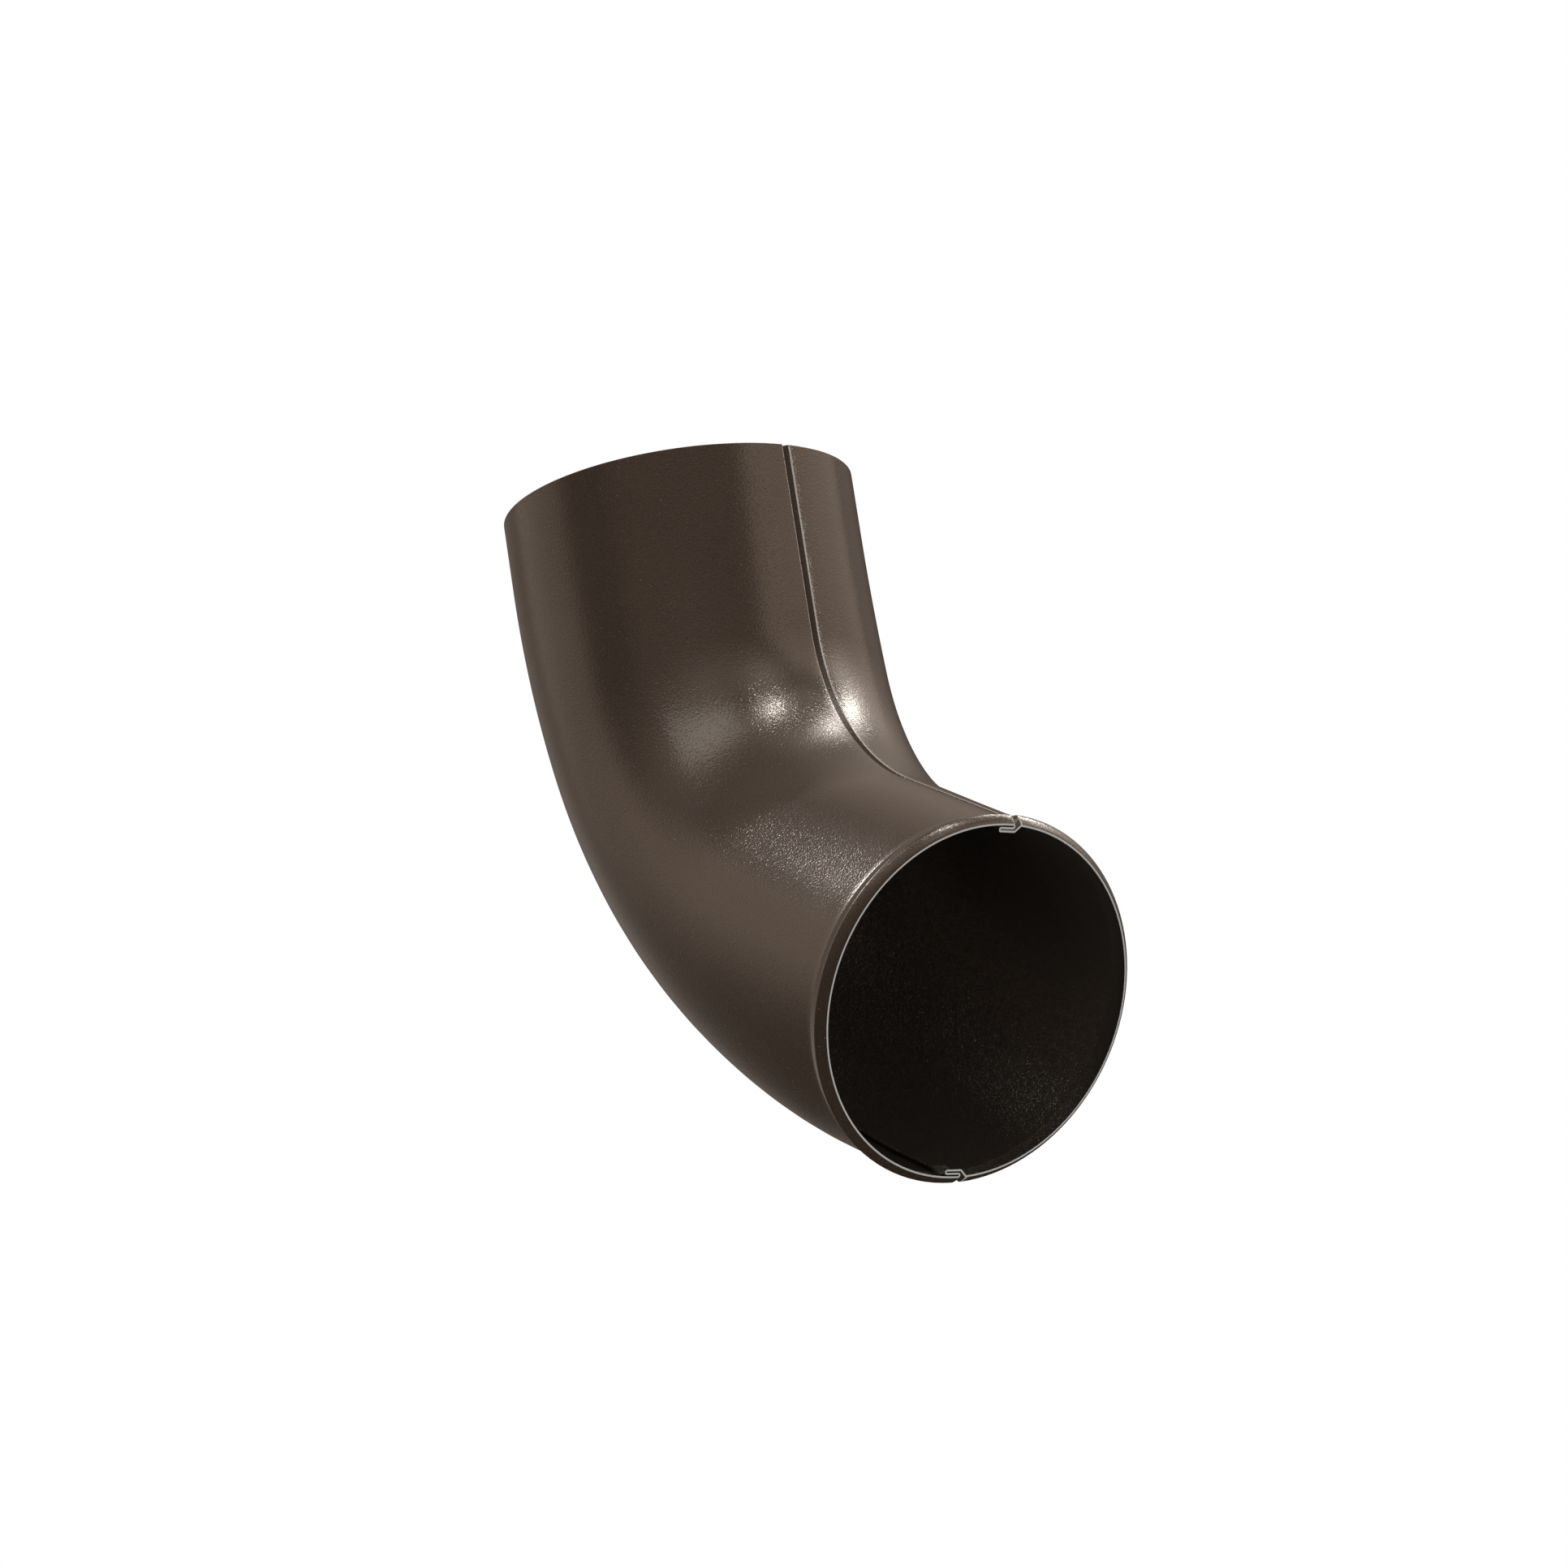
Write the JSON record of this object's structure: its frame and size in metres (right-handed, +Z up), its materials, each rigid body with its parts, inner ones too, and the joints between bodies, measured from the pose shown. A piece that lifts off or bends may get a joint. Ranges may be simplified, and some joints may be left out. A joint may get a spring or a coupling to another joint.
{
  "type": "downspout shoe",
  "caption": "Round 60 degree outlet elbow of coated steel sheet with folded lock seams and a raised bead behind its rim; it hangs on a downpipe and throws the water clear.",
  "frame": {"origin": "centre of the inlet mouth, in the plane of its cut edge", "axes": "+Z up along the inlet leg and out of its mouth; the bend lies in the plane X = 0 and throws the water towards -Y"},
  "size_m": [0.1012, 0.1756, 0.2181],
  "materials": {
    "coated_steel": "semi-gloss dark brown coating with a fine grain"
  },
  "bodies": {
    "root": {"shoe_elbow": "coated_steel"}
  },
  "joints": []
}
